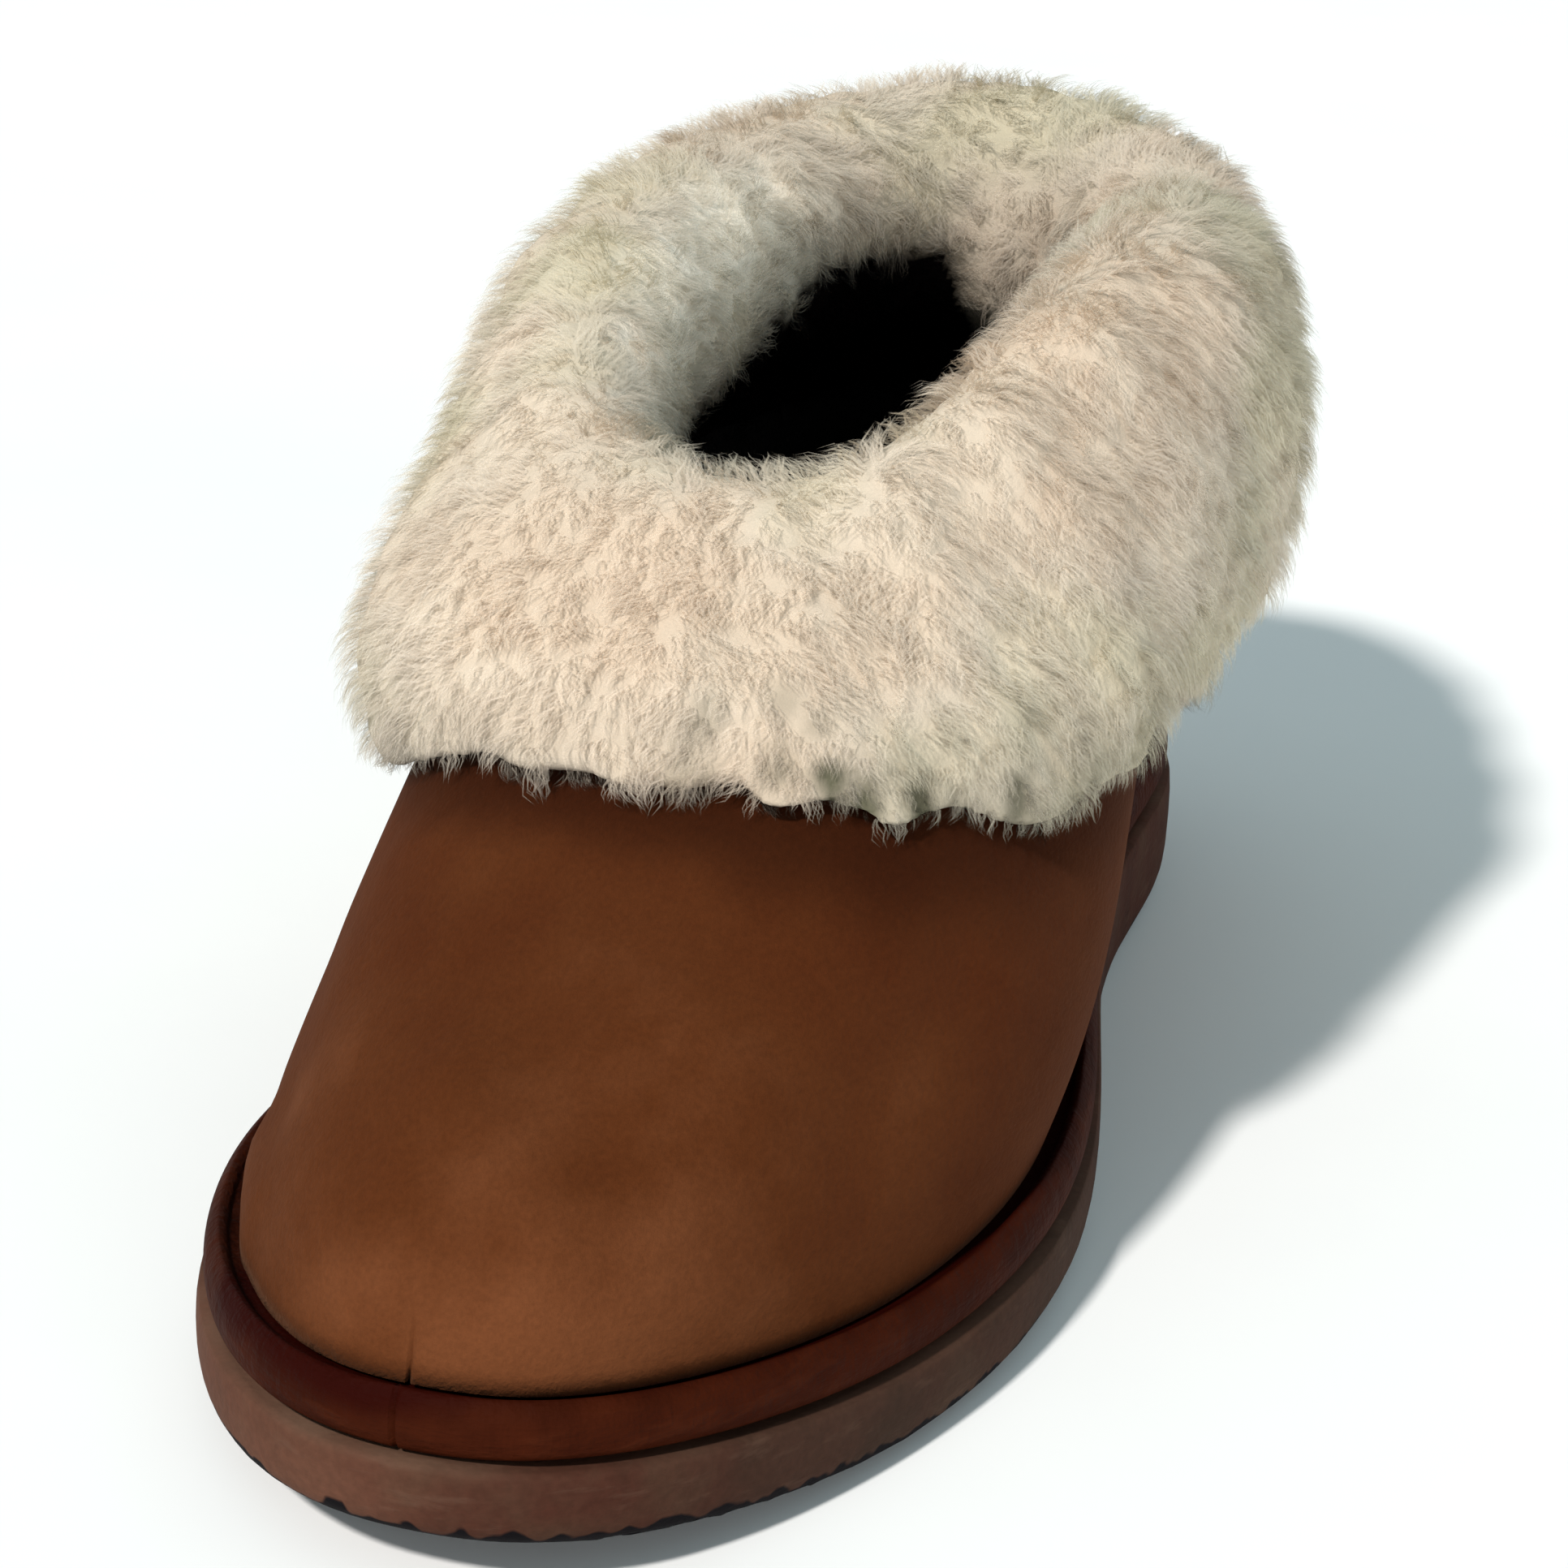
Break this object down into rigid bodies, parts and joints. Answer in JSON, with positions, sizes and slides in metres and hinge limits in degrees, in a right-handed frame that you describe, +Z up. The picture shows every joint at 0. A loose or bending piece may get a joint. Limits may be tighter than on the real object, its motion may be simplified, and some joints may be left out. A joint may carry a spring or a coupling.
{
  "type": "sheepskin slipper",
  "caption": "Closed-toe suede slipper with a deep turned-down wool cuff, a leather-wrapped platform band and a rubber wedge outsole.",
  "frame": {"origin": "on the floor, under the middle of the slipper's box", "axes": "+Z up, +Y from the toe to the heel, +X towards the little toe"},
  "size_m": [0.1154, 0.2782, 0.1169],
  "materials": {
    "outsole_rubber": "matt mauve-brown rubber",
    "band_leather": "satin mahogany leather, lightly creased",
    "footbed_wool": "cream wool pile",
    "suede": "chestnut suede with a short nap",
    "cuff_wool": "deep cream sheepskin wool"
  },
  "bodies": {
    "root": {"outsole": "outsole_rubber", "midsole": "band_leather", "insole": "footbed_wool", "upper": "suede", "cuff": "cuff_wool"}
  },
  "joints": []
}
